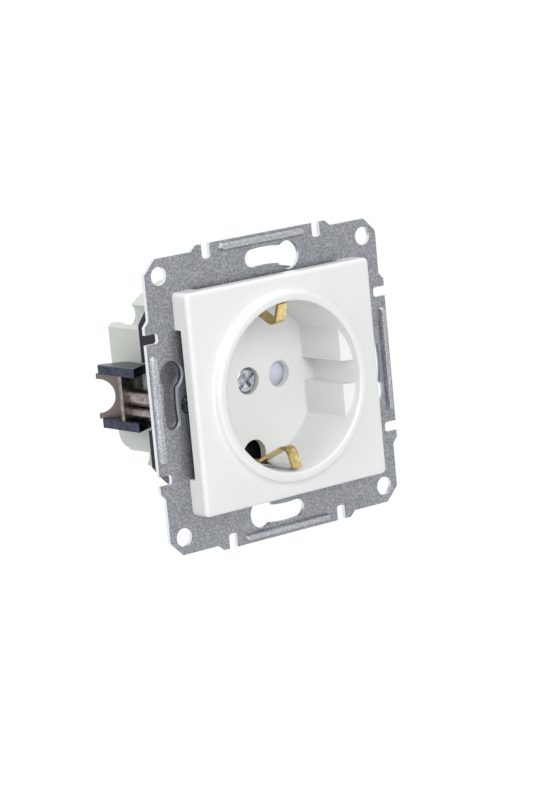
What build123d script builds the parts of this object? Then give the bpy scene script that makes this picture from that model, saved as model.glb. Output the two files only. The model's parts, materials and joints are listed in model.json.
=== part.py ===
from build123d import *
import os
from math import cos, pi, radians, sin, sqrt

# Flush wall socket: an earthed round well in a square cover, on a stamped steel mounting
# plate, and the works that sit in the flush box behind it.
# Millimetres. X to the right, Y into the wall, Z up. The back of the mounting plate is
# the wall plane, Y = 0, and the origin is at the plate's centre.

# Mounting plate
plate_thickness = 1.0
plate_margin = 4.0
plate_chamfer = 3.3
tab_rise = 1.3
tab_half_length = 19.0
tab_ramp = 1.5
box_screw_pitch = 60.0
corner_hole_d = 4.3
notch_offset = 16.2
notch_width = 2.3
notch_depth = 3.4
notch_corner = 0.7
slot_width = 4.1
slot_end_angle = 6.1
keyhole_d = 6.6
keyhole_angle = 14.0
rib_length = 25.2
rib_width = 2.0
rib_height = 0.85
rib_inset = 1.5
rib_taper = 30.0
opening_margin = 2.7

# Cover with the wall of the well, and the well's floor
cover_width = 53.8
cover_height = 51.4
cover_rise = 5.4
cover_corner = 1.2
cover_edge = 1.0
cover_wall = 1.8
cover_face = 1.8
rim_cut_height = 2.1
side_cut_half = 17.2
end_cut_half = 21.5
ring_wall = 2.3
ring_height = 2.2
ring_edge = 0.9
ring_foot = 0.5
mouth_edge = 0.7
well_r = 19.7
well_depth = 17.5
well_wall = 1.2
floor_thickness = 2.0
flat_inset = 3.0
flat_groove_half = 2.75
flat_front = 3.3
flat_ramp = 1.0
window_width = 6.6
window_reach = 5.7
pin_spacing = 19.0
pin_hole_d = 6.0
pin_hole_chamfer = 0.3
screw_recess_d = 6.4
screw_recess_depth = 2.4
cover_boss_d = 8.4
cover_boss_gap = 0.2

# Cover screw and its bush
cover_screw_d = 3.0
cover_screw_head_d = 5.8
cover_screw_head_height = 1.7
cover_screw_length = 13.4
thread_clearance = 0.05
bush_d = 6.0
bush_length = 10.0

# Contact carrier
carrier_r = 29.4
carrier_flat_x = 24.2
carrier_flat_z = 24.6
carrier_depth = 16.7
pocket_gap = 0.3
deck_gap = 2.5
ramp_half_height = 8.0
ramp_start = 4.4
ramp_end = 13.0
ramp_top_x = 23.9
ramp_foot_x = 22.2
screw_groove_gap = 0.3
rail_low = -4.5
rail_high = 13.5
rail_thickness = 1.2

# Rear housing
housing_r = 24.2
housing_depth = 31.6
housing_wall = 1.3
block_x = 22.0
round_inset = 1.9
block_top = 15.9
block_bottom = 13.3
block_edge = 0.8
block_edge_drop = 0.8
block_round = 3.5
lug_offset = 17.0
lug_r = 3.0
lug_thickness = 3.5
wire_hole_d = 3.4

# Shutter behind the well floor
shutter_gap = 0.3
shutter_thickness = 2.0
shutter_half_width = 13.8
flap_inner = 5.2
flap_half_height = 4.2
bridge_top = 7.8
bridge_gap = 0.4
ramp_depth = 1.6
shutter_lug_reach = 17.0
shutter_lug_thickness = 1.6
spring_x = 15.5
spring_coil_r = 1.05
spring_wire_d = 0.42
spring_turns = 5
spring_wire_sides = 6
spring_top = 13.4
spring_stop_thickness = 1.4

# Earth strap with its two clips
strap_thickness = 0.8
strap_width = 2.6
strap_gap = 0.4
strap_centre_half = 4.0
strap_centre_reach = 6.5
clip_leg_inset = 0.75
clip_knee_depth = 5.7
clip_apex_depth = -4.2
clip_apex_inset = 5.2
clip_tip_depth = -6.0
clip_tip_inset = 0.3
clip_bend = 1.6
leaf_thickness = 0.4
leaf_inset = 0.65
leaf_foot_inset = 5.5
leaf_front = -5.3
earth_tab_x = 4.2
earth_tab_z = 11.2

# Live and neutral contacts
contact_width = 5.8
contact_thickness = 0.8
contact_grip = 4.4
contact_base_half = 3.0
contact_length = 11.2
contact_flare = 3.0
contact_back_gap = 0.1
contact_spring_thickness = 0.5
contact_spring_depth = 3.0
contact_spring_reach = 8.8

# Screw terminals
terminal_x = 18.0
terminal_tab_z = 3.0
tab_width = 3.6
cage_wall = 0.8
cage_head = 2.2
cage_height = 8.2
cage_depth = 5.5
cage_gap = 0.2
cage_back_gap = 1.9
tab_reach = 1.0
terminal_screw_d = 3.0
terminal_screw_head_d = 5.5
terminal_screw_head_height = 2.0
terminal_screw_length = 7.2

# Fixing claws, their screws and brackets
claw_screw_x = 25.2
claw_pivot_depth = 0.3
claw_seat_r = 2.1
claw_seat_gap = 0.06
claw_head_gap = 0.15
claw_head_front = -0.6
claw_screw_d = 3.0
claw_screw_end = 21.4
bracket_front = 0.4
bracket_thickness = 1.2
bracket_outer_x = 31.4
bracket_gap = 1.0
bracket_half_height = 10.6
stake_d = 1.6
stake_inset = 1.0
stake_z = 5.0
stake_clearance = 0.1
claw_block_gap = 0.6
claw_sheet = 1.0
claw_outer_x = 28.6
claw_arm_z = 5.3
claw_arm_thickness = 2.1
claw_arm_front = 14.2
claw_arm_shoulder = 17.5
claw_bend_depth = 24.6
claw_tip_x = 28.8
claw_tip_depth = 29.0
claw_fork_r = 4.1
claw_nut_front = 19.9
claw_nut_thickness = 1.2
claw_sleeve_r = 2.0
claw_sleeve_front = 11.2
claw_bead_r = 1.5
claw_bead_z = 3.7

# Fasteners
rivet_offset = 20.0
rivet_d = 2.2
rivet_head_d = 4.2
rivet_head_height = 0.8
rivet_depth = 5.0
housing_screw_d = 2.8
housing_screw_head_d = 5.4
housing_screw_head_height = 1.8
housing_screw_tip = 8.0
fastener_gap = 0.05

# Sizes that follow from those above
plate_half = box_screw_pitch / 2 + plate_margin
ring_outer_r = well_r + ring_wall
flat_x = well_r - flat_inset
window_inner = well_r - window_reach
face_front = -plate_thickness - cover_rise
mouth_front = face_front - ring_height
floor_front = mouth_front + well_depth
floor_back = floor_front + floor_thickness
cup_r = well_r + well_wall
pocket_r = cup_r + pocket_gap
opening_r = cup_r + opening_margin
shutter_front = floor_back + shutter_gap
shutter_back = shutter_front + shutter_thickness
deck_front = floor_back + deck_gap
strap_back = deck_front + 0.7 + strap_thickness
strap_front = strap_back - strap_thickness
recess_back = floor_front + screw_recess_depth
boss_back = strap_front - cover_boss_gap
chamber_back = housing_depth - housing_wall
contact_back = chamber_back - contact_back_gap
contact_front = contact_back - contact_length
contact_spring_front = contact_back - contact_spring_reach
cage_front = chamber_back - cage_back_gap - cage_depth
tab_front = cage_front - tab_reach
clip_leg_z = well_r - clip_leg_inset
clip_apex_z = well_r - clip_apex_inset
clip_tip_z = well_r - clip_tip_inset
leaf_z = well_r - leaf_inset
leaf_foot_z = well_r - leaf_foot_inset
pin_x = pin_spacing / 2
tab_edge = plate_half + tab_rise
bracket_back = bracket_front + bracket_thickness
bracket_inner_x = cup_r + bracket_gap
stake_x = bracket_inner_x + stake_inset


def front_plane(depth):
    """Plane square to the wall's normal at a depth; a positive extrusion comes forward."""
    return Plane.XZ.offset(-depth)


# Mounting plate: one stamped sheet with keyholes, notches and pressed ribs. The slots of
# the keyholes run on the circle of the box screws.
with BuildLine() as slot_line:
    CenterArc((0, 0), box_screw_pitch / 2, -keyhole_angle, keyhole_angle + slot_end_angle)
with BuildPart() as mounting_plate:
    with BuildSketch(front_plane(0)):
        Rectangle(2 * plate_half, 2 * plate_half)
        chamfer(vertices(), plate_chamfer)
        with PolarLocations(plate_half, 4):
            Polygon(
                (-1, -tab_half_length - tab_ramp),
                (0, -tab_half_length - tab_ramp),
                (tab_rise, -tab_half_length),
                (tab_rise, tab_half_length),
                (0, tab_half_length + tab_ramp),
                (-1, tab_half_length + tab_ramp),
                align=None,
            )
        with PolarLocations(tab_edge, 4):
            with GridLocations(1, 2 * notch_offset, 1, 2):
                RectangleRounded(2 * notch_depth, notch_width, notch_corner, mode=Mode.SUBTRACT)
        Circle(opening_r, mode=Mode.SUBTRACT)
        SlotCenterToCenter(2 * claw_screw_x, 2 * (claw_seat_r + claw_head_gap), mode=Mode.SUBTRACT)
    extrude(amount=plate_thickness)
    with BuildSketch(front_plane(plate_thickness)):
        with PolarLocations(0, 4):
            SlotArc(slot_line.edge(), slot_width)
        with PolarLocations(box_screw_pitch / 2, 4, start_angle=-keyhole_angle):
            Circle(keyhole_d / 2)
        with GridLocations(box_screw_pitch, box_screw_pitch, 2, 2):
            Circle(corner_hole_d / 2)
        with GridLocations(2 * rivet_offset, 2 * rivet_offset, 2, 2):
            Circle(rivet_d / 2 + fastener_gap)
    extrude(amount=3 * plate_thickness, mode=Mode.SUBTRACT)
    with BuildSketch(front_plane(-plate_thickness)):
        with PolarLocations(tab_edge - rib_inset, 4):
            SlotOverall(rib_length, rib_width, rotation=90)
    extrude(amount=rib_height, taper=rib_taper)
    with BuildSketch(front_plane(0)):
        with PolarLocations(tab_edge - rib_inset, 4):
            SlotOverall(rib_length - rib_width / 2, rib_width / 2, rotation=90)
    extrude(amount=rib_height, mode=Mode.SUBTRACT)
mounting_plate.part.label = "mounting_plate"

# Flats that key a plug in the well: two blocks each side with a groove between them.
flat_depth = mouth_front + flat_front
with BuildPart() as well_flats:
    with BuildSketch(front_plane(floor_front)):
        Circle(well_r + well_wall / 2)
        Rectangle(2 * flat_x, 4 * well_r, mode=Mode.SUBTRACT)
        Rectangle(4 * well_r, 2 * flat_groove_half, mode=Mode.SUBTRACT)
    extrude(amount=floor_front - flat_depth + flat_ramp)
    for side in (1, -1):
        with BuildSketch(Plane.XY):
            Polygon(
                (side * flat_x, flat_depth),
                (side * (flat_x + 4 * flat_ramp), flat_depth - 2 * flat_ramp),
                (side * flat_x, flat_depth - 3 * flat_ramp),
                align=None,
            )
        extrude(amount=well_r, both=True, mode=Mode.SUBTRACT)

# Cover: square face with rounded edges, raised ring, wall of the well and a rim that is
# cut away in the middle of each side.
with BuildPart() as cover:
    with BuildSketch(front_plane(-plate_thickness)):
        RectangleRounded(cover_width, cover_height, cover_corner)
    extrude(amount=cover_rise)
    fillet(cover.faces().sort_by(Axis.Y)[0].edges(), cover_edge)
    with BuildSketch(front_plane(-plate_thickness)):
        RectangleRounded(cover_width - 2 * cover_wall, cover_height - 2 * cover_wall, cover_corner / 2)
    extrude(amount=cover_rise - cover_face, mode=Mode.SUBTRACT)
    with BuildSketch(front_plane(-plate_thickness)):
        Rectangle(2 * cover_width, 2 * side_cut_half)
        Rectangle(2 * end_cut_half, 2 * cover_height)
    extrude(amount=rim_cut_height, mode=Mode.SUBTRACT)
    with BuildSketch(front_plane(face_front)):
        Circle(ring_outer_r)
    extrude(amount=ring_height)
    fillet(cover.faces().sort_by(Axis.Y)[0].edges(), ring_edge)
    foot_edges = cover.edges().filter_by(
        lambda edge: abs(edge.center().Y - face_front) < 0.01
        and abs(edge.length - 2 * pi * ring_outer_r) < 0.01
    )
    chamfer(foot_edges, ring_foot)
    with BuildSketch(front_plane(floor_front)):
        Circle(cup_r)
    extrude(amount=floor_front - face_front)
    with BuildSketch(front_plane(floor_front)):
        Circle(well_r)
    extrude(amount=well_depth + 1, mode=Mode.SUBTRACT)
    fillet(cover.faces().sort_by(Axis.Y)[0].inner_wires()[0].edges(), mouth_edge)
    add(well_flats.part)
cover.part.label = "cover"

# Floor of the well, welded to the end of its wall: pin holes, windows for the earth clips
# and a boss for the cover screw.
with BuildPart() as well_floor:
    with BuildSketch(front_plane(floor_back)):
        Circle(cup_r)
    extrude(amount=floor_thickness)
    with BuildSketch(front_plane(floor_back)):
        Circle(cover_boss_d / 2)
    extrude(amount=floor_back - boss_back)
    with BuildSketch(front_plane(floor_front)):
        Circle(screw_recess_d / 2)
    extrude(amount=-screw_recess_depth, mode=Mode.SUBTRACT)
    with BuildSketch(front_plane(boss_back)):
        Circle(cover_screw_d / 2 + 4 * thread_clearance)
    extrude(amount=boss_back - floor_front, mode=Mode.SUBTRACT)
    with BuildSketch(front_plane(floor_back)):
        with GridLocations(pin_spacing, 0, 2, 1):
            Circle(pin_hole_d / 2)
        arch_z = window_inner + window_width / 2
        with PolarLocations(arch_z, 2, start_angle=90):
            Circle(window_width / 2)
        with PolarLocations((arch_z + well_r) / 2, 2, start_angle=90):
            Rectangle(well_r - arch_z, window_width)
        Circle(well_r, mode=Mode.INTERSECT)
    extrude(amount=floor_thickness, mode=Mode.SUBTRACT)
    pin_edges = well_floor.edges().filter_by(
        lambda edge: abs(edge.center().Y - floor_front) < 0.01
        and abs(edge.length - pi * pin_hole_d) < 0.01
    )
    chamfer(pin_edges, pin_hole_chamfer)
well_floor.part.label = "well_floor"

# Cover screw, with a cross and a long slot, and the bush it threads into.
screw_top = recess_back - cover_screw_head_height
with BuildPart() as cover_screw:
    with BuildSketch(front_plane(recess_back)):
        Circle(cover_screw_head_d / 2)
    extrude(amount=cover_screw_head_height)
    fillet(cover_screw.faces().sort_by(Axis.Y)[0].edges(), 0.6)
    with BuildSketch(front_plane(recess_back)):
        Circle(cover_screw_d / 2)
    extrude(amount=-cover_screw_length)
    with BuildSketch(front_plane(screw_top)):
        Rectangle(cover_screw_head_d, 0.9, rotation=35)
        Rectangle(0.9, 3.6, rotation=35)
    extrude(amount=-1.1, mode=Mode.SUBTRACT)
    chamfer(cover_screw.faces().sort_by(Axis.Y)[-1].edges(), 0.4)
cover_screw.part.label = "cover_screw"

with BuildPart() as screw_bush:
    with BuildSketch(front_plane(strap_back)):
        Circle(bush_d / 2)
        Circle(cover_screw_d / 2 + thread_clearance, mode=Mode.SUBTRACT)
    extrude(amount=-bush_length)
screw_bush.part.label = "screw_bush"

# Contact carrier: dark moulding round the well, with the deck that holds the strap.
rail_inner = shutter_lug_reach + 0.2
channel_half = strap_width / 2 + 0.2
with BuildPart() as contact_carrier:
    with BuildSketch(front_plane(0)):
        Circle(carrier_r)
        Rectangle(2 * carrier_flat_x, 2 * carrier_flat_z, mode=Mode.INTERSECT)
    extrude(amount=-carrier_depth)
    with BuildSketch(front_plane(deck_front)):
        Circle(pocket_r)
    extrude(amount=deck_front, mode=Mode.SUBTRACT)
    with BuildSketch(front_plane(deck_front)):
        with GridLocations(2 * rail_inner + rail_thickness, 0, 2, 1):
            with Locations((0, (rail_low + rail_high) / 2)):
                Rectangle(rail_thickness, rail_high - rail_low)
        stop_z = spring_top + spring_stop_thickness / 2
        with GridLocations(shutter_half_width + rail_inner, 0, 2, 1):
            with Locations((0, stop_z)):
                Rectangle(rail_inner - shutter_half_width - 0.3, spring_stop_thickness)
    extrude(amount=deck_front - shutter_front)
    with BuildSketch(front_plane(deck_front)):
        with GridLocations(2 * spring_x, 0, 2, 1):
            with Locations((0, (spring_top - flap_half_height) / 2)):
                Rectangle(3.0, spring_top + flap_half_height)
    extrude(amount=-0.4, mode=Mode.SUBTRACT)
    with BuildSketch(front_plane(deck_front)):
        Rectangle(2 * channel_half, 2 * (well_r + 0.2))
        Rectangle(2 * strap_centre_half + 0.4, 2 * strap_centre_reach + 0.4)
        wing_width = earth_tab_x + tab_width / 2 + 0.2
        wing_height = earth_tab_z + strap_thickness + 0.2
        with Locations((wing_width / 2, -wing_height / 2)):
            Rectangle(wing_width, wing_height)
    extrude(amount=-(strap_back - deck_front), mode=Mode.SUBTRACT)
    with BuildSketch(front_plane(strap_back)):
        with PolarLocations((leaf_foot_z + well_r) / 2, 2, start_angle=90):
            Rectangle(well_r - leaf_foot_z + 0.4, strap_width + 0.4)
    extrude(amount=-leaf_thickness, mode=Mode.SUBTRACT)
    with BuildSketch(front_plane(deck_front)):
        with GridLocations(pin_spacing, 0, 2, 1):
            Circle(pin_hole_d / 2 + 0.2)
        Circle(bush_d / 2 + fastener_gap)
        with Locations((earth_tab_x, -earth_tab_z - strap_thickness / 2)):
            Rectangle(tab_width + 0.4, strap_thickness + 0.4)
    extrude(amount=-carrier_depth, mode=Mode.SUBTRACT)
    with BuildSketch(front_plane(bracket_back)):
        with GridLocations(2 * carrier_flat_x, 0, 2, 1):
            Rectangle(2 * (carrier_flat_x - pocket_r) + 2, 2 * bracket_half_height + 0.4)
    extrude(amount=bracket_back, mode=Mode.SUBTRACT)
    with BuildSketch(front_plane(bracket_back)):
        with GridLocations(2 * stake_x, 2 * stake_z, 2, 2):
            Circle(stake_d / 2)
    extrude(amount=bracket_thickness + 0.3)
    with BuildSketch(front_plane(bracket_back)):
        with GridLocations(2 * claw_screw_x, 0, 2, 1):
            Circle(claw_seat_r + screw_groove_gap)
    extrude(amount=-(ramp_end - bracket_back), mode=Mode.SUBTRACT)
    for side in (1, -1):
        with BuildSketch(Plane.XY):
            Polygon(
                (side * ramp_top_x, ramp_start),
                (side * ramp_foot_x, ramp_end),
                (side * ramp_foot_x, carrier_depth + 1),
                (side * (carrier_flat_x + 1), carrier_depth + 1),
                (side * (carrier_flat_x + 1), ramp_start),
                align=None,
            )
        extrude(amount=ramp_half_height, both=True, mode=Mode.SUBTRACT)
    with BuildSketch(front_plane(0)):
        with GridLocations(2 * rivet_offset, 2 * rivet_offset, 2, 2):
            Circle(rivet_d / 2 + fastener_gap)
    extrude(amount=-rivet_depth, mode=Mode.SUBTRACT)
    with BuildSketch(front_plane(carrier_depth)):
        with GridLocations(2 * lug_offset, 2 * lug_offset, 2, 2):
            Circle(housing_screw_d / 2 + fastener_gap)
    extrude(amount=carrier_depth - housing_screw_tip, mode=Mode.SUBTRACT)
contact_carrier.part.label = "contact_carrier"


cage_outer = tab_width + 2 * cage_wall + 0.4
cage_centres = {
    "live": (-terminal_x, terminal_tab_z - cage_wall - strap_thickness + cage_height / 2, 1),
    "neutral": (terminal_x, terminal_tab_z - cage_wall - strap_thickness + cage_height / 2, 1),
    "earth": (earth_tab_x, -earth_tab_z + cage_wall - cage_height / 2, -1),
}
screw_pocket_r = terminal_screw_head_d / 2 + 0.4
screw_depth = cage_front + cage_depth / 2

# Rear housing: light moulding with a block each side for the terminals.
with BuildPart() as rear_housing:
    with BuildSketch(front_plane(carrier_depth)):
        half_top = block_top - block_edge_drop
        Polygon(
            (-block_x, -block_bottom),
            (block_x, -block_bottom),
            (block_x, half_top),
            (block_x - block_edge, block_top),
            (block_edge - block_x, block_top),
            (-block_x, half_top),
            align=None,
        )
    extrude(amount=-(housing_depth - carrier_depth))
    rear_low_edges = rear_housing.edges().filter_by(
        lambda edge: abs(edge.center().Y - housing_depth) < 0.01
        and abs(edge.center().Z + block_bottom) < 0.01
    )
    fillet(rear_low_edges, block_round)
    with BuildSketch(front_plane(carrier_depth)):
        Circle(housing_r)
        Rectangle(2 * (block_x - round_inset), 2 * housing_r, mode=Mode.INTERSECT)
    extrude(amount=-(housing_depth - carrier_depth))
    with BuildSketch(front_plane(carrier_depth)):
        with GridLocations(2 * lug_offset, 2 * lug_offset, 2, 2):
            Circle(lug_r)
    extrude(amount=-lug_thickness)
    with BuildSketch(front_plane(carrier_depth)):
        with GridLocations(2 * lug_offset, 2 * lug_offset, 2, 2):
            Circle(housing_screw_d / 2 + fastener_gap)
    extrude(amount=-lug_thickness, mode=Mode.SUBTRACT)
    with BuildSketch(front_plane(carrier_depth + lug_thickness)):
        with GridLocations(2 * lug_offset, 2 * lug_offset, 2, 2):
            Circle(housing_screw_head_d / 2 + 0.4)
    extrude(amount=-(housing_depth - carrier_depth), mode=Mode.SUBTRACT)
    with BuildSketch(front_plane(carrier_depth)):
        with GridLocations(pin_spacing, 0, 2, 1):
            Rectangle(contact_width + 2.0, 2 * flap_half_height)
    extrude(amount=-(chamber_back - carrier_depth), mode=Mode.SUBTRACT)
    with BuildSketch(front_plane(carrier_depth)):
        Circle(bush_d / 2 + fastener_gap)
    extrude(amount=-(strap_back + bush_length + 0.4 - carrier_depth), mode=Mode.SUBTRACT)
    with BuildSketch(front_plane(cage_front - cage_gap)):
        for centre_x, centre_z, up in cage_centres.values():
            with Locations((centre_x, centre_z)):
                Rectangle(cage_outer + 2 * cage_gap, cage_height + 2 * cage_gap)
    extrude(amount=-(chamber_back - cage_front + cage_gap), mode=Mode.SUBTRACT)
    tail_start = pin_x + contact_width / 2 - 0.5
    tail_end = terminal_x + tab_width / 2 + 0.2
    for side in (1, -1):
        with BuildSketch(front_plane(chamber_back)):
            with Locations((side * (tail_start + tail_end) / 2, terminal_tab_z / 2)):
                Rectangle(tail_end - tail_start, terminal_tab_z + 0.4)
        extrude(amount=2.0, mode=Mode.SUBTRACT)
    with BuildSketch(front_plane(carrier_depth)):
        with Locations((earth_tab_x, -earth_tab_z - strap_thickness / 2)):
            Rectangle(tab_width + 0.4, strap_thickness + 0.4)
    extrude(amount=-(cage_front - carrier_depth), mode=Mode.SUBTRACT)
    with BuildSketch(front_plane(carrier_depth)):
        with GridLocations(2 * terminal_x, 0, 2, 1):
            with Locations((0, terminal_tab_z - strap_thickness / 2)):
                Rectangle(tab_width + 0.4, strap_thickness + 0.4)
    extrude(amount=-(cage_front - carrier_depth), mode=Mode.SUBTRACT)
    for centre_x, centre_z, up in cage_centres.values():
        wire_z = centre_z + up * (cage_wall + strap_thickness - cage_height / 2 + wire_hole_d / 2 + 0.2)
        with BuildSketch(front_plane(housing_depth)):
            with Locations((centre_x, wire_z)):
                Circle(wire_hole_d / 2)
        extrude(amount=housing_wall + 1, mode=Mode.SUBTRACT)
        with BuildSketch(Plane.XY.offset(centre_z + up * cage_height / 2)):
            with Locations((centre_x, screw_depth)):
                Circle(screw_pocket_r)
        extrude(amount=up * housing_r, mode=Mode.SUBTRACT)
rear_housing.part.label = "rear_housing"

# Shutter: two flaps joined over the screw boss, pushed up by a plug's pins.
with BuildPart() as shutter:
    with BuildSketch(front_plane(shutter_back)):
        flap_centre = (flap_inner + shutter_half_width) / 2
        with GridLocations(2 * flap_centre, 0, 2, 1):
            Rectangle(shutter_half_width - flap_inner, 2 * flap_half_height)
        bridge_bottom = cover_boss_d / 2 + bridge_gap
        with Locations((0, (bridge_bottom + bridge_top) / 2)):
            Rectangle(2 * shutter_half_width, bridge_top - bridge_bottom)
        with GridLocations(2 * flap_centre, 0, 2, 1):
            with Locations((0, (flap_half_height + bridge_bottom) / 2)):
                Rectangle(shutter_half_width - flap_inner, bridge_bottom - flap_half_height + 0.2)
        lug_centre = (shutter_half_width + shutter_lug_reach) / 2
        with GridLocations(2 * lug_centre, 0, 2, 1):
            with Locations((0, -flap_half_height + shutter_lug_thickness / 2)):
                Rectangle(shutter_lug_reach - shutter_half_width, shutter_lug_thickness)
    extrude(amount=shutter_thickness)
    for side in (1, -1):
        with BuildSketch(Plane.YZ.offset(side * pin_x)):
            Polygon(
                (shutter_front, flap_half_height - 1.4),
                (shutter_front, -flap_half_height - 1),
                (shutter_front + ramp_depth, -flap_half_height - 1),
                (shutter_front + ramp_depth, -flap_half_height + 0.6),
                align=None,
            )
        extrude(amount=pin_hole_d / 2 + 0.3, both=True, mode=Mode.SUBTRACT)
shutter.part.label = "shutter"

# Two coil springs that push the shutter back down over the pin holes.
spring_bottom = -flap_half_height + shutter_lug_thickness
spring_depth = (floor_back + deck_front + 0.3) / 2
coil_height = spring_top - spring_bottom - spring_wire_d - 0.1
with BuildPart() as shutter_springs:
    for side in (1, -1):
        coil_start = Plane(
            origin=(side * spring_x, spring_depth, spring_bottom + spring_wire_d / 2 + 0.05),
            x_dir=(1, 0, 0),
            z_dir=(0, 0, 1),
        )
        with BuildLine(coil_start) as coil_line:
            Helix(pitch=coil_height / spring_turns, height=coil_height, radius=spring_coil_r)
        with BuildSketch(Plane(origin=coil_line.wires()[0] @ 0, z_dir=coil_line.wires()[0] % 0)):
            RegularPolygon(spring_wire_d / 2, spring_wire_sides)
        sweep(path=coil_line.wires()[0], is_frenet=True)
shutter_springs.part.label = "shutter_springs"


def clip_line(up):
    """Outline of one strap arm in a side view: along the deck, up the well and over."""
    FilletPolyline(
        (strap_back, 0),
        (strap_back, up * clip_leg_z),
        (clip_knee_depth, up * clip_leg_z),
        (clip_apex_depth, up * clip_apex_z),
        (clip_tip_depth, up * clip_tip_z),
        radius=clip_bend,
    )


# Earth strap: a brass strip across the deck whose ends rise in the well as clips.
with BuildPart() as earth_strap:
    for up, inside in ((1, Side.LEFT), (-1, Side.RIGHT)):
        with BuildSketch(Plane.YZ):
            with BuildLine():
                clip_line(up)
                offset(amount=strap_thickness, side=inside)
            make_face()
        extrude(amount=strap_width / 2, both=True)
    with BuildSketch(front_plane(strap_back)):
        Rectangle(2 * strap_centre_half, 2 * strap_centre_reach)
        wing_height = earth_tab_z + strap_thickness - strap_centre_reach + 1
        with Locations((earth_tab_x, -earth_tab_z - strap_thickness + wing_height / 2)):
            Rectangle(tab_width, wing_height)
        with Locations(((earth_tab_x + tab_width / 2) / 2, -strap_centre_reach - 1)):
            Rectangle(earth_tab_x + tab_width / 2, 3)
    extrude(amount=strap_thickness)
    with BuildSketch(front_plane(strap_front)):
        with Locations((earth_tab_x, -earth_tab_z - strap_thickness / 2)):
            Rectangle(tab_width, strap_thickness)
    extrude(amount=-(cage_front + cage_depth - strap_front), mode=Mode.ADD)
    with BuildSketch(front_plane(strap_back)):
        Circle(cover_screw_d / 2 + 0.2)
    extrude(amount=strap_thickness, mode=Mode.SUBTRACT)
earth_strap.part.label = "earth_strap"

# Steel leaves behind the two clips, each with a foot under the strap.
with BuildPart() as earth_clip_leaves:
    for up in (1, -1):
        with BuildSketch(Plane.YZ):
            Polygon(
                (strap_back, up * leaf_foot_z),
                (strap_back, up * leaf_z),
                (leaf_front, up * leaf_z),
                (leaf_front, up * (leaf_z + leaf_thickness)),
                (strap_back + leaf_thickness, up * (leaf_z + leaf_thickness)),
                (strap_back + leaf_thickness, up * leaf_foot_z),
                align=None,
            )
        extrude(amount=strap_width / 2, both=True)
earth_clip_leaves.part.label = "earth_clip_leaves"

# Live and neutral contacts: a sprung fork round each pin with a tail to its terminal.
contacts = {}
contact_springs = {}
for name, side in (("live_contact", -1), ("neutral_contact", 1)):
    with BuildPart() as contact:
        base_depth = contact_back - contact_thickness
        for up in (1, -1):
            with BuildSketch(Plane.YZ.offset(side * pin_x)):
                with BuildLine():
                    FilletPolyline(
                        (contact_back, 0),
                        (contact_back, up * (contact_base_half + 0.2)),
                        (contact_spring_front, up * (contact_grip / 2 + contact_thickness)),
                        (contact_front, up * (contact_flare + contact_thickness)),
                        radius=0.7,
                    )
                    offset(amount=contact_thickness, side=Side.LEFT if up > 0 else Side.RIGHT)
                make_face()
            extrude(amount=contact_width / 2, both=True)
        tail_start = pin_x + contact_width / 2 - 0.5
        tail_end = terminal_x + tab_width / 2
        with BuildSketch(front_plane(contact_back)):
            with Locations((side * (tail_start + tail_end) / 2, terminal_tab_z / 2)):
                Rectangle(tail_end - tail_start, terminal_tab_z)
        extrude(amount=contact_thickness)
        with BuildSketch(front_plane(contact_back)):
            with Locations((side * terminal_x, terminal_tab_z - contact_thickness / 2)):
                Rectangle(tab_width, contact_thickness)
        extrude(amount=contact_back - tab_front)
    contact.part.label = name
    contacts[name] = contact
    with BuildPart() as contact_spring:
        spring_half = contact_grip / 2 + contact_thickness + 0.12
        with BuildSketch(front_plane(contact_spring_front + contact_spring_depth)):
            with Locations((side * pin_x, 0)):
                Rectangle(contact_width + 1.4, 2 * (spring_half + contact_spring_thickness))
                Rectangle(contact_width + 0.4, 2 * spring_half, mode=Mode.SUBTRACT)
            with Locations((side * (pin_x - contact_width / 2 - 0.6), 0)):
                Rectangle(1.2, spring_half, mode=Mode.SUBTRACT)
        extrude(amount=contact_spring_depth)
    spring_name = name.replace("contact", "contact_spring")
    contact_spring.part.label = spring_name
    contact_springs[spring_name] = contact_spring

# Terminal cages and their clamping screws.
terminals = {}
terminal_screws = {}
for pole, (centre_x, centre_z, up) in cage_centres.items():
    with BuildPart() as terminal:
        with BuildSketch(front_plane(cage_front + cage_depth)):
            with Locations((centre_x, centre_z)):
                Rectangle(cage_outer, cage_height)
            opening_height = cage_height - cage_wall - cage_head
            with Locations((centre_x, centre_z + up * (cage_wall - cage_head) / 2)):
                Rectangle(cage_outer - 2 * cage_wall, opening_height, mode=Mode.SUBTRACT)
        extrude(amount=cage_depth)
        with BuildSketch(Plane.XY.offset(centre_z)):
            with Locations((centre_x, screw_depth)):
                Circle(terminal_screw_d / 2 + thread_clearance)
        extrude(amount=up * cage_height, mode=Mode.SUBTRACT)
    terminal.part.label = pole + "_terminal"
    terminals[terminal.part.label] = terminal
    head_z = centre_z + up * (cage_height / 2 + 2.0)
    with BuildPart() as terminal_screw:
        with BuildSketch(Plane.XY.offset(head_z)):
            with Locations((centre_x, screw_depth)):
                Circle(terminal_screw_head_d / 2)
        extrude(amount=up * terminal_screw_head_height)
        with BuildSketch(Plane.XY.offset(head_z)):
            with Locations((centre_x, screw_depth)):
                Circle(terminal_screw_d / 2)
        extrude(amount=-up * terminal_screw_length)
        slot_z = head_z + up * terminal_screw_head_height
        with BuildSketch(Plane.XY.offset(slot_z)):
            with Locations((centre_x, screw_depth)):
                Rectangle(terminal_screw_head_d, 0.8)
        extrude(amount=-up * 0.9, mode=Mode.SUBTRACT)
    terminal_screw.part.label = pole + "_terminal_screw"
    terminal_screws[terminal_screw.part.label] = terminal_screw

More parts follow.
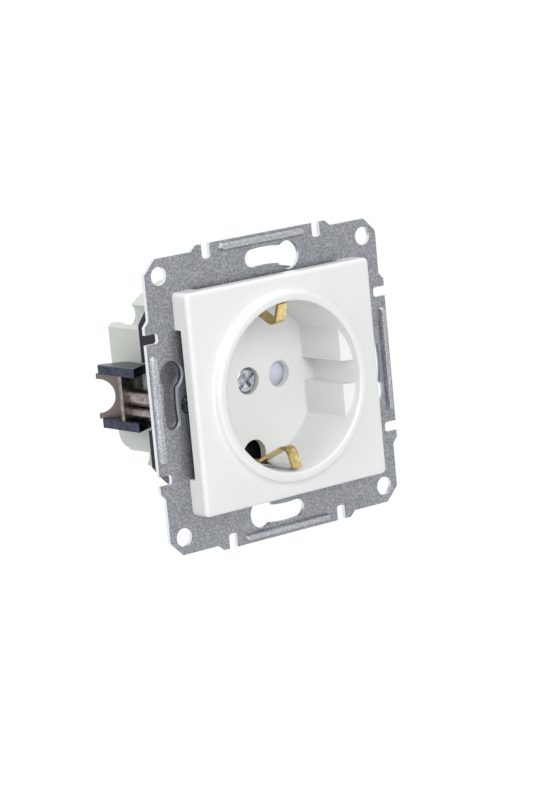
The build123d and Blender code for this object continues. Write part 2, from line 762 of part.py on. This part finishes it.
# Fixing claws: each a folded sheet with two arms and a forked end that leans out to bite
# the wall of the box, and a nut plate with a threaded sleeve and a guide bead.
claw_inner_x = block_x + claw_block_gap
web_outer_x = claw_inner_x + claw_sheet
arm_top = claw_arm_z + claw_arm_thickness
lean_x = claw_tip_x - web_outer_x
lean_y = claw_tip_depth - claw_bend_depth
lean_length = sqrt(lean_x**2 + lean_y**2)
back_x = claw_sheet * lean_y / lean_length
back_y = claw_sheet * lean_x / lean_length
inner_back = claw_bend_depth + back_y - (web_outer_x - back_x - claw_inner_x) * lean_y / lean_x
claws = {}
claw_nuts = {}
for name, side in (("claw_left", -1), ("claw_right", 1)):
    with BuildPart() as claw:
        with BuildSketch(Plane.XY):
            Polygon(
                (side * claw_inner_x, claw_arm_shoulder),
                (side * claw_outer_x, claw_arm_front),
                (side * claw_outer_x, claw_tip_depth - 0.8),
                (side * (claw_outer_x - 1), claw_tip_depth - 0.2),
                (side * claw_inner_x, inner_back),
                align=None,
            )
        extrude(amount=arm_top, both=True)
        with BuildSketch(Plane.XY):
            Polygon(
                (side * claw_inner_x, claw_arm_front - 1),
                (side * (claw_outer_x + 1), claw_arm_front - 1),
                (side * (claw_outer_x + 1), claw_tip_depth + 2),
                (side * claw_tip_x, claw_tip_depth + 2),
                (side * claw_inner_x, claw_tip_depth + 2),
                (side * claw_inner_x, inner_back - 0.01),
                align=None,
            )
        extrude(amount=claw_arm_z, both=True, mode=Mode.SUBTRACT)
        with BuildSketch(Plane.XY):
            Polygon(
                (side * claw_inner_x, claw_nut_front),
                (side * web_outer_x, claw_nut_front),
                (side * web_outer_x, claw_bend_depth),
                (side * claw_tip_x, claw_tip_depth),
                (side * (claw_tip_x - back_x), claw_tip_depth + back_y),
                (side * claw_inner_x, inner_back),
                align=None,
            )
        extrude(amount=claw_arm_z, both=True)
        fork_plane = Plane(
            origin=(side * claw_tip_x, claw_tip_depth, 0),
            x_dir=(side * lean_x, lean_y, 0),
            z_dir=(lean_y, -side * lean_x, 0),
        )
        with BuildSketch(fork_plane):
            Circle(claw_fork_r)
        extrude(amount=2 * claw_sheet, both=True, mode=Mode.SUBTRACT)
    claw.part.label = name
    claws[name] = claw
    with BuildPart() as claw_nut:
        nut_back = claw_nut_front + claw_nut_thickness
        with BuildSketch(front_plane(nut_back)):
            with Locations((side * (web_outer_x + claw_outer_x - 0.4) / 2, 0)):
                Rectangle(claw_outer_x - 0.4 - web_outer_x, 2 * claw_arm_z)
        extrude(amount=claw_nut_thickness)
        with BuildSketch(front_plane(claw_nut_front)):
            with Locations((side * claw_screw_x, 0)):
                Circle(claw_sleeve_r)
            with Locations((side * claw_screw_x, side * claw_bead_z)):
                Circle(claw_bead_r)
        extrude(amount=claw_nut_front - claw_sleeve_front)
        with BuildSketch(front_plane(nut_back)):
            with Locations((side * claw_screw_x, 0)):
                Circle(claw_screw_d / 2 + thread_clearance)
        extrude(amount=nut_back - claw_sleeve_front, mode=Mode.SUBTRACT)
    claw_nut.part.label = name.replace("claw", "claw_nut")
    claw_nuts[claw_nut.part.label] = claw_nut

# Claw screws: a ball-shaped underside lets each screw lean with its claw.
neck_depth = claw_pivot_depth + sqrt(claw_seat_r**2 - (claw_screw_d / 2) ** 2)
head_face_r = sqrt(claw_seat_r**2 - (claw_pivot_depth - claw_head_front) ** 2)
claw_screws = {}
claw_brackets = {}
for word, side in (("left", -1), ("right", 1)):
    centre_x = side * claw_screw_x
    with BuildPart() as claw_screw:
        with BuildSketch(Plane.XY):
            with BuildLine():
                Line((centre_x, claw_head_front), (centre_x + head_face_r, claw_head_front))
                ThreePointArc(
                    (centre_x + head_face_r, claw_head_front),
                    (centre_x + claw_seat_r, claw_pivot_depth),
                    (centre_x + claw_screw_d / 2, neck_depth),
                )
                Polyline(
                    (centre_x + claw_screw_d / 2, neck_depth),
                    (centre_x + claw_screw_d / 2, claw_screw_end - 0.6),
                    (centre_x + claw_screw_d / 2 - 0.6, claw_screw_end),
                    (centre_x, claw_screw_end),
                    (centre_x, claw_head_front),
                )
            make_face()
        revolve(axis=Axis((centre_x, 0, 0), (0, 1, 0)))
        with BuildSketch(front_plane(claw_head_front)):
            with Locations((centre_x, 0)):
                Rectangle(2 * claw_seat_r, 0.9, rotation=25)
                Rectangle(0.9, 3.0, rotation=25)
        extrude(amount=-1.0, mode=Mode.SUBTRACT)
    claw_screw.part.label = "claw_screw_" + word
    claw_screws[claw_screw.part.label] = claw_screw
    with BuildPart() as bracket:
        with BuildSketch(front_plane(bracket_back)):
            with Locations((side * (bracket_inner_x + bracket_outer_x) / 2, 0)):
                Rectangle(bracket_outer_x - bracket_inner_x, 2 * bracket_half_height)
            with Locations((side * stake_x, 0)):
                with GridLocations(0, 2 * stake_z, 1, 2):
                    Circle(stake_d / 2 + stake_clearance, mode=Mode.SUBTRACT)
        extrude(amount=bracket_thickness)
        with Locations((centre_x, claw_pivot_depth, 0)):
            Sphere(claw_seat_r + claw_seat_gap, mode=Mode.SUBTRACT)
    bracket.part.label = "claw_bracket_" + word
    claw_brackets[bracket.part.label] = bracket

# Four rivets hold the carrier to the plate, four screws hold the housing to the carrier.
with BuildPart() as plate_rivets:
    with BuildSketch(front_plane(-plate_thickness)):
        with GridLocations(2 * rivet_offset, 2 * rivet_offset, 2, 2):
            Circle(rivet_head_d / 2)
    extrude(amount=rivet_head_height)
    chamfer(plate_rivets.edges().group_by(Axis.Y)[0], rivet_head_height / 2)
    with BuildSketch(front_plane(-plate_thickness)):
        with GridLocations(2 * rivet_offset, 2 * rivet_offset, 2, 2):
            Circle(rivet_d / 2)
    extrude(amount=-(plate_thickness + rivet_depth - 0.2))
plate_rivets.part.label = "plate_rivets"

with BuildPart() as housing_screws:
    lug_back = carrier_depth + lug_thickness
    with BuildSketch(front_plane(lug_back)):
        with GridLocations(2 * lug_offset, 2 * lug_offset, 2, 2):
            Circle(housing_screw_head_d / 2)
    extrude(amount=-housing_screw_head_height)
    with BuildSketch(front_plane(lug_back)):
        with GridLocations(2 * lug_offset, 2 * lug_offset, 2, 2):
            Circle(housing_screw_d / 2)
    extrude(amount=lug_back - housing_screw_tip - 0.4)
    with BuildSketch(front_plane(lug_back + housing_screw_head_height)):
        with GridLocations(2 * lug_offset, 2 * lug_offset, 2, 2):
            Rectangle(3.2, 0.8, rotation=45)
            Rectangle(0.8, 3.2, rotation=45)
    extrude(amount=1.0, mode=Mode.SUBTRACT)
housing_screws.part.label = "housing_screws"

os.makedirs("parts", exist_ok=True)
export_step(mounting_plate.part, "parts/mounting_plate.step")
export_step(cover.part, "parts/cover.step")
export_step(well_floor.part, "parts/well_floor.step")
export_step(cover_screw.part, "parts/cover_screw.step")
export_step(screw_bush.part, "parts/screw_bush.step")
export_step(contact_carrier.part, "parts/contact_carrier.step")
export_step(rear_housing.part, "parts/rear_housing.step")
export_step(shutter.part, "parts/shutter.step")
export_step(shutter_springs.part, "parts/shutter_springs.step")
export_step(earth_strap.part, "parts/earth_strap.step")
export_step(earth_clip_leaves.part, "parts/earth_clip_leaves.step")
export_step(plate_rivets.part, "parts/plate_rivets.step")
export_step(housing_screws.part, "parts/housing_screws.step")
for group in (
    contacts,
    contact_springs,
    terminals,
    terminal_screws,
    claws,
    claw_nuts,
    claw_screws,
    claw_brackets,
):
    for label, piece in group.items():
        export_step(piece.part, f"parts/{label}.step")
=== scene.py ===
import json

import bpy
from mathutils import Matrix, Vector


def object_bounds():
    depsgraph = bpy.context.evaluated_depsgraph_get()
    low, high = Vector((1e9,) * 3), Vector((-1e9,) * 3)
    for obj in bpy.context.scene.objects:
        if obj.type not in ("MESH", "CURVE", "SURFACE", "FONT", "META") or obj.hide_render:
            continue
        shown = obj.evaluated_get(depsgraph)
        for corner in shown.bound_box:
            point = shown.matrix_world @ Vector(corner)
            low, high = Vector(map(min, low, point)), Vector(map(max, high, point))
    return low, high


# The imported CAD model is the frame: every piece keeps its place, and the scene gives each
# one its material, lights it and looks at it from the photograph's angle.
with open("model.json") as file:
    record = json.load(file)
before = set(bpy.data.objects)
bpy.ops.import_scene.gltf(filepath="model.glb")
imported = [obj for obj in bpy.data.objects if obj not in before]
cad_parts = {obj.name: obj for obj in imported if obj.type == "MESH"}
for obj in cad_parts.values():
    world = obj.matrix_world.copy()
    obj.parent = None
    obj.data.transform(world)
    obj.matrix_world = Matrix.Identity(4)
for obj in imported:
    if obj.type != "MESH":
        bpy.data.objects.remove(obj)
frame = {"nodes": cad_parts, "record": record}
nodes = frame["nodes"]
cad_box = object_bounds()
scene = bpy.context.scene
MM = 0.001
WHITE = (1.0, 1.0, 1.0, 1.0)


def new_material(name):
    """An empty node material: (material, node tree, principled shader)."""
    mat = bpy.data.materials.new(name)
    mat.use_nodes = True
    tree = mat.node_tree
    return mat, tree, tree.nodes["Principled BSDF"]


def add(tree, kind, **inputs):
    """Adds a shader node and sets its named inputs."""
    node = tree.nodes.new(kind)
    for key, value in inputs.items():
        node.inputs[key.replace("_", " ")].default_value = value
    return node


def coordinates(tree):
    """Object coordinates, in metres, which are the row frame for every CAD node."""
    return tree.nodes.new("ShaderNodeTexCoord").outputs["Object"]


def math_node(tree, operation, value, other=None):
    """A math node on one linked value, with an optional fixed second number."""
    node = tree.nodes.new("ShaderNodeMath")
    node.operation = operation
    tree.links.new(value, node.inputs[0])
    if other is not None:
        node.inputs[1].default_value = other
    return node.outputs[0]


def part_of(tree, vector, axis):
    """One component of a vector."""
    node = tree.nodes.new("ShaderNodeSeparateXYZ")
    tree.links.new(vector, node.inputs["Vector"])
    return node.outputs[axis]


def mix_color(tree, below, above, blend="MIX"):
    """A colour mix of two linked colours or fixed ones: (node, result)."""
    node = tree.nodes.new("ShaderNodeMix")
    node.data_type = "RGBA"
    node.blend_type = blend
    node.inputs["Factor"].default_value = 1.0
    for name, color in (("A", below), ("B", above)):
        if isinstance(color, tuple):
            node.inputs[name].default_value = color
        else:
            tree.links.new(color, node.inputs[name])
    return node, node.outputs["Result"]


def noise(tree, coords, scale, detail=3.0, roughness=0.5):
    node = add(tree, "ShaderNodeTexNoise", Scale=scale, Detail=detail, Roughness=roughness)
    tree.links.new(coords, node.inputs["Vector"])
    return node.outputs["Fac"]


def ramp(tree, fac, stops):
    node = tree.nodes.new("ShaderNodeValToRGB")
    elements = node.color_ramp.elements
    while len(elements) > 1:
        elements.remove(elements[-1])
    elements[0].position, elements[0].color = stops[0]
    for position, color in stops[1:]:
        element = elements.new(position)
        element.color = color
    tree.links.new(fac, node.inputs["Fac"])
    return node.outputs["Color"]


def scale_range(tree, fac, low, high):
    node = tree.nodes.new("ShaderNodeMapRange")
    node.inputs["To Min"].default_value = low
    node.inputs["To Max"].default_value = high
    tree.links.new(fac, node.inputs["Value"])
    return node.outputs["Result"]


def bump(tree, height, strength, distance):
    node = add(tree, "ShaderNodeBump", Strength=strength, Distance=distance)
    tree.links.new(height, node.inputs["Height"])
    return node.outputs["Normal"]


def grey(value, tint=(1.0, 1.0, 1.0)):
    return (value * tint[0], value * tint[1], value * tint[2], 1.0)


SHEET_TINT = (0.95, 0.99, 1.06)
CUT_EDGE_STEEL_AND_GLINT_GREY = 0.85
CUT_EDGE_TURN = 0.2
BROAD_SHARE = 0.12
# Depths that set the painted shade behind the plate and the painted highlight on the rib crests.
BEHIND_PLATE = 0.3 * MM
RIB_CREST = -1.7 * MM
CLAW_WEB_HALF = 5.2 * MM
CLAW_WEB_COLOR = (0.17, 0.145, 0.14, 1.0)
FINE_BUMP = 0.1 * MM
GRAIN_BUMP = 0.08 * MM


def painted_shade_and_rib_highlight(tree, coords, sheet):
    """Painted shade darkens what lies behind the plate, and a painted highlight brightens the
    crests of the ribs.
    """
    depth = tree.nodes.new("ShaderNodeMapRange")
    depth.inputs["From Min"].default_value = BEHIND_PLATE
    depth.inputs["From Max"].default_value = RIB_CREST
    tree.links.new(part_of(tree, coords, "Y"), depth.inputs["Value"])
    painted_light_tone = ramp(
        tree,
        depth.outputs["Result"],
        [(0.0, grey(0.26)), (0.14, grey(0.5)), (0.66, grey(0.5)), (0.90, grey(0.74))],
    )
    return mix_color(tree, sheet, painted_light_tone, "OVERLAY")[1]


def galvanised():
    """Zinc coated sheet: a dull blue grey with a fine spangle, and cut edges brightened as bare
    steel with a painted highlight.
    """
    mat, tree, shader = new_material("galvanised_sheet")
    coords = coordinates(tree)
    fine = noise(tree, coords, 2200.0, 3.0, 0.6)
    broad = noise(tree, coords, 260.0, 2.0, 0.5)
    both = tree.nodes.new("ShaderNodeMath")
    both.operation = "MULTIPLY_ADD"
    both.inputs[1].default_value = BROAD_SHARE
    tree.links.new(broad, both.inputs[0])
    tree.links.new(scale_range(tree, fine, 0.0, 0.88), both.inputs[2])
    sheet = ramp(
        tree,
        both.outputs[0],
        [
            (0.34, grey(0.19, SHEET_TINT)),
            (0.50, grey(0.29, SHEET_TINT)),
            (0.66, grey(0.45, SHEET_TINT)),
        ],
    )
    # Cut edges: the bare steel of the cut plus a painted highlight, far brighter than the sheet.
    normal = tree.nodes.new("ShaderNodeTexCoord").outputs["Normal"]
    flat = math_node(tree, "ABSOLUTE", part_of(tree, normal, "Y"))
    cut_edge_and_glint = grey(CUT_EDGE_STEEL_AND_GLINT_GREY, SHEET_TINT)
    # The sheet takes painted shade behind the plate and a painted highlight on the rib crests,
    # with the cut edges laid over it.
    mix, color = mix_color(tree, painted_shade_and_rib_highlight(tree, coords, sheet), cut_edge_and_glint)
    tree.links.new(math_node(tree, "LESS_THAN", flat, CUT_EDGE_TURN), mix.inputs["Factor"])
    tree.links.new(color, shader.inputs["Base Color"])
    shader.inputs["Metallic"].default_value = 0.6
    tree.links.new(scale_range(tree, fine, 0.24, 0.42), shader.inputs["Roughness"])
    tree.links.new(bump(tree, fine, 0.25, FINE_BUMP), shader.inputs["Normal"])
    return mat


def moulded(name, color, roughness, coat, speckle=0.02, texture=0.0, specular=0.5):
    """Moulded plastic with a faint unevenness of tone."""
    mat, tree, shader = new_material(name)
    coords = coordinates(tree)
    cloud = noise(tree, coords, 90.0, 2.0)
    low = tuple(c * (1 - speckle) for c in color) + (1.0,)
    high = tuple(min(1.0, c * (1 + speckle)) for c in color) + (1.0,)
    tree.links.new(ramp(tree, cloud, [(0.3, low), (0.7, high)]), shader.inputs["Base Color"])
    shader.inputs["Roughness"].default_value = roughness
    shader.inputs["Coat Weight"].default_value = coat
    shader.inputs["Specular IOR Level"].default_value = specular
    if texture:
        grain = noise(tree, coords, 2600.0, 2.0)
        tree.links.new(bump(tree, grain, texture, GRAIN_BUMP), shader.inputs["Normal"])
    return mat


def metal(name, dark, light, roughness, scale, grain=0.1):
    """Metal with a varied tone."""
    mat, tree, shader = new_material(name)
    streaks = noise(tree, coordinates(tree), scale, 4.0, 0.6)
    tree.links.new(
        ramp(tree, streaks, [(0.3, dark + (1.0,)), (0.7, light + (1.0,))]),
        shader.inputs["Base Color"],
    )
    shader.inputs["Metallic"].default_value = 1.0
    tree.links.new(
        scale_range(tree, streaks, roughness * 0.8, roughness * 1.25),
        shader.inputs["Roughness"],
    )
    tree.links.new(bump(tree, streaks, grain, FINE_BUMP), shader.inputs["Normal"])
    return mat


def claw_steel():
    """Dark oiled arms, and a browner grey on the sheet between them."""
    mat = metal("claw_steel", (0.020, 0.026, 0.044), (0.075, 0.09, 0.13), 0.32, 700.0)
    tree = mat.node_tree
    shader = tree.nodes["Principled BSDF"]
    arms = shader.inputs["Base Color"].links[0].from_socket
    height = math_node(tree, "ABSOLUTE", part_of(tree, coordinates(tree), "Z"))
    mix, color = mix_color(tree, arms, CLAW_WEB_COLOR)
    tree.links.new(math_node(tree, "LESS_THAN", height, CLAW_WEB_HALF), mix.inputs["Factor"])
    tree.links.new(color, shader.inputs["Base Color"])
    return mat


materials = {
    "galvanised_steel": galvanised(),
    "white_cover": moulded("white_cover", (0.84, 0.85, 0.845), 0.2, 0.3, 0.006),
    "dark_carrier": moulded("dark_carrier", (0.008, 0.011, 0.016), 0.38, 0.0, 0.15, 0.25, 0.25),
    "light_housing": moulded("light_housing", (0.66, 0.70, 0.65), 0.5, 0.0, 0.04, 0.25),
    "shutter_white": moulded("shutter_white", (0.78, 0.82, 0.92), 0.4, 0.0, 0.03, 0.1),
    "brass": metal("brass_sheet", (0.36, 0.27, 0.10), (0.82, 0.66, 0.30), 0.22, 500.0),
    "zinc_screw": metal("zinc_screw", (0.22, 0.24, 0.27), (0.66, 0.68, 0.71), 0.22, 1400.0),
    "spring_steel": metal("spring_steel", (0.36, 0.37, 0.39), (0.66, 0.67, 0.68), 0.28, 900.0),
    "claw_steel": claw_steel(),
    "nut_steel": metal("nut_steel", (0.16, 0.14, 0.13), (0.44, 0.40, 0.37), 0.30, 800.0),
}
slot_of = {part["node"]: part["material_slot"] for part in frame["record"]["subparts"]}
for name, obj in nodes.items():
    material = materials[slot_of[name]]
    if not obj.material_slots:
        obj.data.materials.append(material)
    for material_slot in obj.material_slots:
        material_slot.material = material


def background_ray(tree, path):
    """1 for the rays that should see the white background, and 0 for those that light."""
    seen = path.outputs["Is Camera Ray"]
    for ray in ("Is Glossy Ray", "Is Transmission Ray"):
        either = tree.nodes.new("ShaderNodeMath")
        either.operation = "MAXIMUM"
        tree.links.new(seen, either.inputs[0])
        tree.links.new(path.outputs[ray], either.inputs[1])
        seen = either.outputs[0]
    return seen


# Stage: the floor's own light brings it up to white for the camera, and its diffuse part
# keeps the object's shadow.
FILL = 0.42
FLOOR_GREY = 0.8


def stage_material():
    mat = bpy.data.materials.new("stage_white")
    mat.use_nodes = True
    tree = mat.node_tree
    tree.nodes.clear()
    out = tree.nodes.new("ShaderNodeOutputMaterial")
    path = tree.nodes.new("ShaderNodeLightPath")
    diffuse = tree.nodes.new("ShaderNodeBsdfDiffuse")
    diffuse.inputs["Color"].default_value = grey(FLOOR_GREY)
    white = tree.nodes.new("ShaderNodeEmission")
    white.inputs["Color"].default_value = WHITE
    white.inputs["Strength"].default_value = 1.0 - FLOOR_GREY * FILL
    seen = tree.nodes.new("ShaderNodeMixShader")
    tree.links.new(background_ray(tree, path), seen.inputs["Fac"])
    tree.links.new(white.outputs[0], seen.inputs[2])
    both = tree.nodes.new("ShaderNodeAddShader")
    tree.links.new(diffuse.outputs[0], both.inputs[0])
    tree.links.new(seen.outputs[0], both.inputs[1])
    tree.links.new(both.outputs[0], out.inputs["Surface"])
    return mat


def world_light():
    world = bpy.data.worlds.new("studio")
    scene.world = world
    world.use_nodes = True
    tree = world.node_tree
    tree.nodes.clear()
    out = tree.nodes.new("ShaderNodeOutputWorld")
    path = tree.nodes.new("ShaderNodeLightPath")
    fill = tree.nodes.new("ShaderNodeBackground")
    fill.inputs["Color"].default_value = WHITE
    fill.inputs["Strength"].default_value = FILL
    seen = tree.nodes.new("ShaderNodeBackground")
    seen.inputs["Color"].default_value = WHITE
    seen.inputs["Strength"].default_value = 1.0
    mix = tree.nodes.new("ShaderNodeMixShader")
    tree.links.new(background_ray(tree, path), mix.inputs["Fac"])
    tree.links.new(fill.outputs[0], mix.inputs[1])
    tree.links.new(seen.outputs[0], mix.inputs[2])
    tree.links.new(mix.outputs[0], out.inputs["Surface"])


world_light()


def area_light(name, place, size, energy):
    """A soft lamp aimed at the origin."""
    data = bpy.data.lights.new(name, "AREA")
    data.shape = "RECTANGLE"
    data.size, data.size_y = size
    data.energy = energy
    obj = bpy.data.objects.new(name, data)
    scene.collection.objects.link(obj)
    obj.location = place
    obj.rotation_euler = (-obj.location).to_track_quat("-Z", "Y").to_euler()


# Camera from the fit to the photograph: yaw, pitch and roll, and the offset of the
# plate's centre in the camera's frame.
PITCH, YAW, ROLL = 0.17519, 0.66166, 0.09364
OFFSET = (1.899 * MM, -3.656 * MM, 777.83 * MM)
FOCAL_PX = 3374.8
PHOTO_HEIGHT_PX = 800.0
SENSOR_MM = 36.0
PLATE_FRONT = -1.0 * MM


def camera_rotation(rx, ry, rz):
    turn_x = Matrix.Rotation(rx, 3, "X")
    turn_y = Matrix.Rotation(ry, 3, "Y")
    turn_z = Matrix.Rotation(rz, 3, "Z")
    return turn_z @ turn_x @ turn_y


flip = Matrix(((1, 0, 0), (0, -1, 0), (0, 0, -1)))
to_row = Matrix(((1, 0, 0), (0, 0, -1), (0, 1, 0)))
turn = flip @ camera_rotation(PITCH, YAW, ROLL)
centre = to_row @ (turn.transposed() @ (-Vector(OFFSET)))
centre.y += PLATE_FRONT
axes = to_row @ turn.transposed() @ flip
camera_data = bpy.data.cameras.new("camera")
camera_data.sensor_width = SENSOR_MM
camera_data.sensor_fit = "AUTO"
camera_data.lens = FOCAL_PX / PHOTO_HEIGHT_PX * SENSOR_MM
camera_data.clip_start = 0.01
camera_data.clip_end = 50.0
camera = bpy.data.objects.new("camera", camera_data)
scene.collection.objects.link(camera)
camera.matrix_world = Matrix.Translation(centre) @ axes.to_4x4()
scene.camera = camera

area_light("key", (-0.30, -1.00, 0.45), (0.7, 0.7), 6.6)
area_light("side", (-1.00, -0.15, 0.25), (0.6, 0.6), 3.0)
area_light("top", (0.0, 0.0, 0.9), (0.8, 0.6), 3.5)

FLOOR_DROP = 0.4
FLOOR_REACH = 6.0
floor_z = cad_box[0][2] - FLOOR_DROP
floor_mesh = bpy.data.meshes.new("floor")
floor_mesh.from_pydata(
    [(x * FLOOR_REACH, y * FLOOR_REACH, floor_z) for x, y in ((-1, -1), (1, -1), (1, 1), (-1, 1))],
    [],
    [(0, 1, 2, 3)],
)
floor = bpy.data.objects.new("floor", floor_mesh)
floor.data.materials.append(stage_material())
scene.collection.objects.link(floor)

scene.view_settings.view_transform = "Standard"
